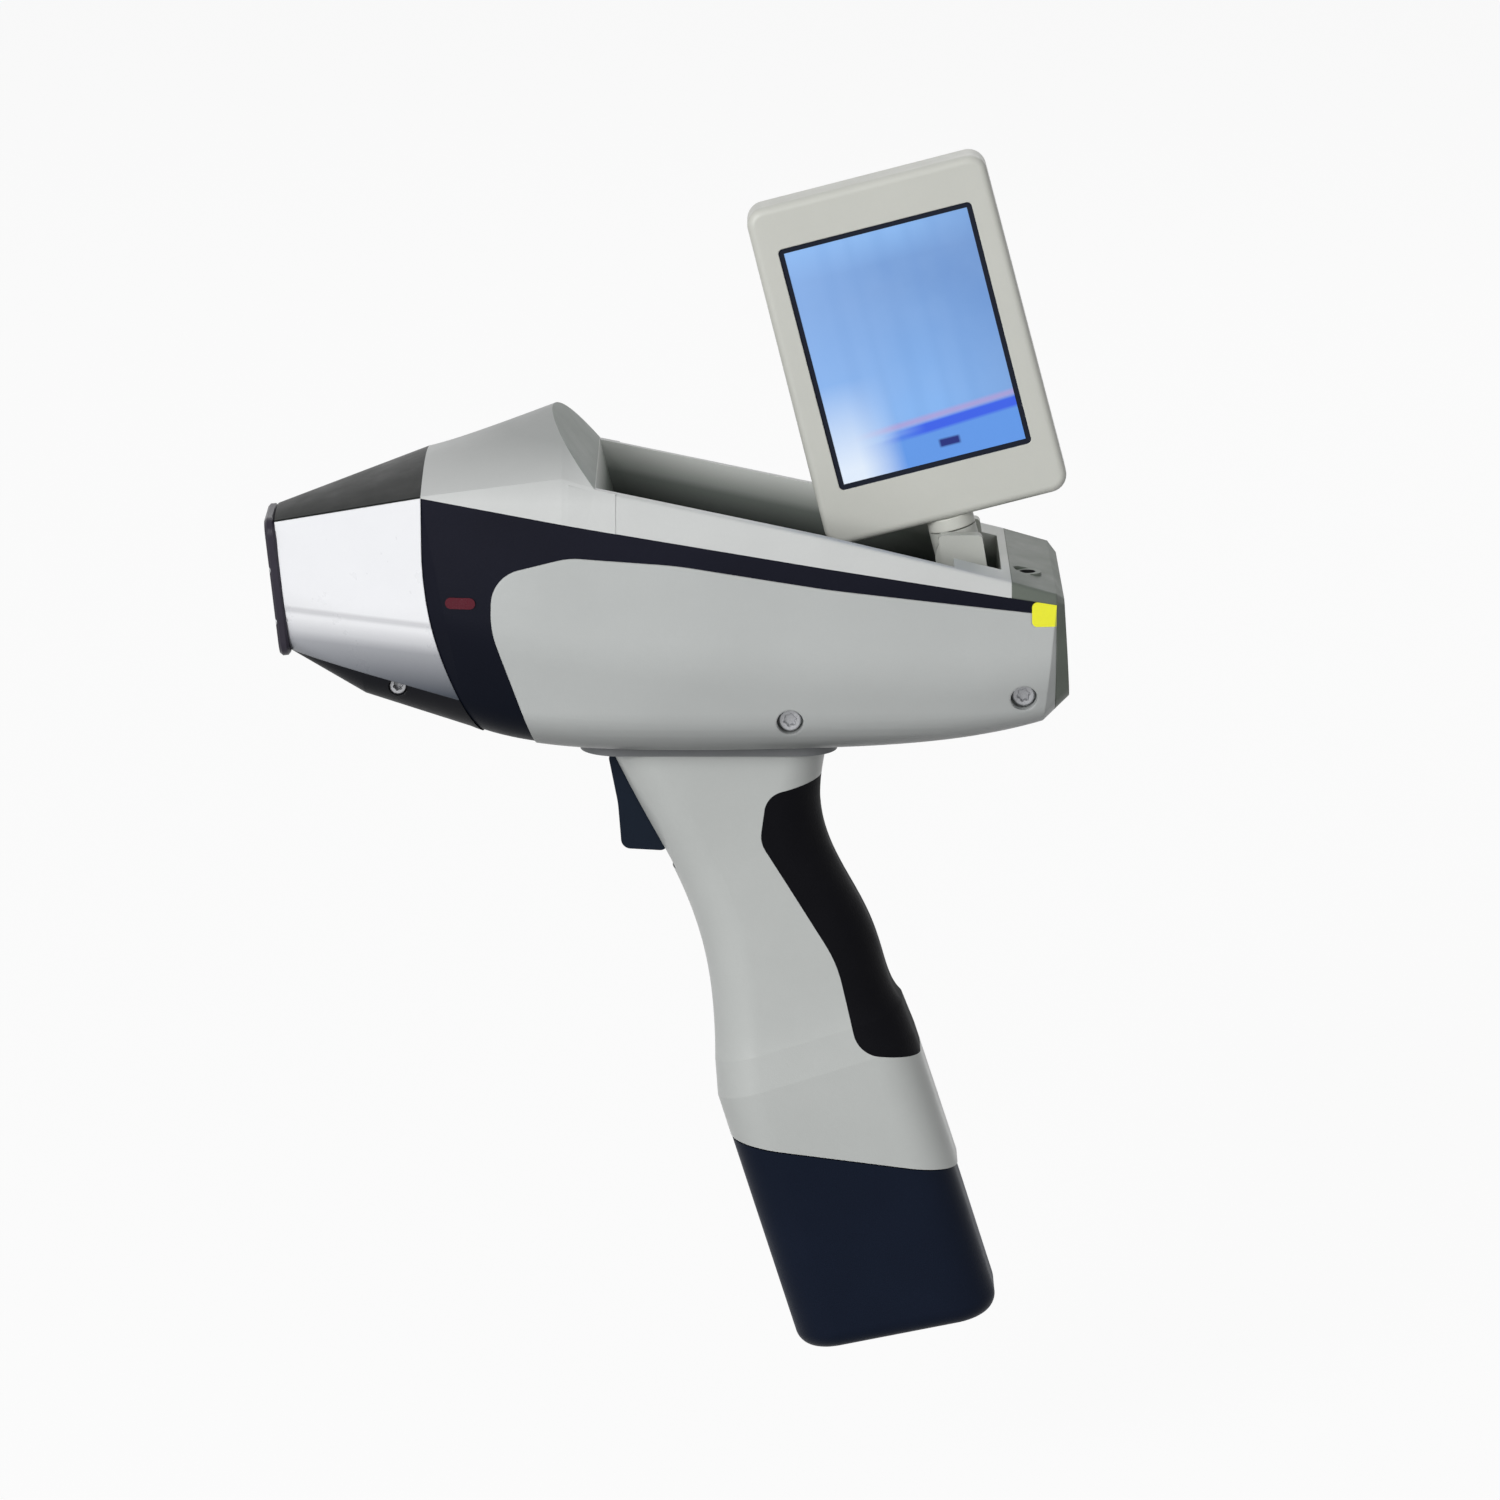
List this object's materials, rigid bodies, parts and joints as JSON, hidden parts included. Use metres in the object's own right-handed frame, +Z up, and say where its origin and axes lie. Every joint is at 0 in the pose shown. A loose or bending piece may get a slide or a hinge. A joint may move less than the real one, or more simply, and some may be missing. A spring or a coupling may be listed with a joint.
{
  "type": "handheld xrf analyzer",
  "caption": "Handheld pistol-grip X-ray fluorescence analyser with a tapered nose, sloped body, open bay, hinged swivelling display, trigger and slide-out battery foot.",
  "frame": {"origin": "centre of the measuring aperture on the nose's front face", "axes": "+X out of the nose along the level body, +Y to the analyser's left, +Z up"},
  "size_m": [0.2424, 0.0896, 0.3717],
  "materials": {
    "nose_silver": "satin silver-grey paint on moulded plastic",
    "under_cover": "matt",
    "nose_top": "matt black",
    "front_plate": "satin dark",
    "film": "thin amber film",
    "steel": "satin",
    "housing": "fine grain",
    "trim": "satin dark navy",
    "side_panel": "satin grey",
    "red_lens": "clear red lens",
    "yellow_lens": "bright yellow lens",
    "rear_grey": "matt dark grey",
    "socket": "black with a steel spring contact",
    "collar": "matt",
    "grip_shell": "satin light grey",
    "grip_rubber": "soft matt",
    "navy": "satin dark navy",
    "sheet_steel": "plain sheet",
    "black_plastic": "moulded",
    "spring_steel": "bright wire",
    "cell_wrap": "green sleeve",
    "circuit_board": "green solder mask",
    "hinge_grey": "satin light grey",
    "display_case": "satin warm light grey",
    "lcd": "lit picture",
    "gasket": "matt",
    "screen_glass": "polished",
    "aluminium": "machined",
    "copper_foil": "bright foil",
    "motor_can": "drawn can",
    "detector_can": "plated can",
    "tube_ceramic": "glazed body with metal snout",
    "potting": "potted block",
    "brass_post": "turned",
    "shield_can": "pressed can"
  },
  "bodies": {
    "analyser": {"nose_shell": "nose_silver", "nose_under_cover": "under_cover", "nose_top_cover": "nose_top", "window_plate": "front_plate", "window_film": "film", "film_retainer": "steel", "window_screws": "steel", "nose_screws": "steel", "upper_housing": "housing", "trim_left": "trim", "trim_right": "trim", "side_shell_left": "side_panel", "side_shell_right": "side_panel", "side_screws": "steel", "xray_lamp_lenses": "red_lens", "status_lamp_lenses": "yellow_lens", "rear_cap": "rear_grey", "power_socket": "socket", "grip_collar": "collar", "grip_left": "grip_shell", "grip_right": "grip_shell", "grip_rubber": "grip_rubber", "grip_screws": "steel", "trigger_pin": "steel", "trigger_bracket": "sheet_steel", "trigger_switch": "black_plastic", "trigger_spring": "spring_steel", "grip_contacts": "black_plastic", "hinge_bracket": "hinge_grey", "tilt_pin": "steel", "measuring_block": "aluminium", "filter_motor": "motor_can", "detector": "detector_can", "xray_tube": "tube_ceramic", "chassis": "aluminium", "tube_cradle": "aluminium", "high_voltage_supply": "potting", "board_posts": "brass_post", "main_board": "circuit_board", "pulse_processor": "shield_can"},
    "tilt_head": {"hinge_knuckle": "hinge_grey", "swivel_shaft": "steel", "swivel_clip": "spring_steel"},
    "display": {"display_front": "display_case", "display_back": "display_case", "display_screws": "steel", "lcd_module": "lcd", "screen_gasket": "gasket", "touch_glass": "screen_glass", "display_board": "circuit_board", "swivel_boss": "display_case"},
    "trigger": {"trigger": "navy"},
    "battery": {"battery_case": "navy", "battery_cells": "cell_wrap", "battery_terminals": "circuit_board"},
    "filter_wheel": {"filter_wheel": "aluminium", "filter_foils": "copper_foil"}
  },
  "joints": [
    {"name": "display_tilt", "type": "hinge", "parent": "analyser", "child": "tilt_head", "pos_m": [-0.2072, 0, 0.0108], "axis": [0, -1, 0], "range_deg": [-8, 30]},
    {"name": "display_swivel", "type": "hinge", "parent": "tilt_head", "child": "display", "pos_m": [-0.2072, 0, 0.0108], "axis": [0.2504, 0, 0.9681], "range_deg": [0, 180]},
    {"name": "trigger_pull", "type": "hinge", "parent": "analyser", "child": "trigger", "pos_m": [-0.112, 0, -0.0565], "axis": [0, 1, 0], "range_deg": [0, 12], "stiffness_Nm_per_rad": 0.3, "springref_deg": -6.88, "deforming": ["trigger_spring"]},
    {"name": "battery_slide", "type": "slide", "parent": "analyser", "child": "battery", "axis": [-0.3007, 0, -0.9537], "range_m": [0, 0.06]},
    {"name": "filter_turn", "type": "hinge", "parent": "analyser", "child": "filter_wheel", "pos_m": [-0.0122, -0.0065, 0.00832], "axis": [0.9945, 0, -0.1045], "continuous": true}
  ]
}
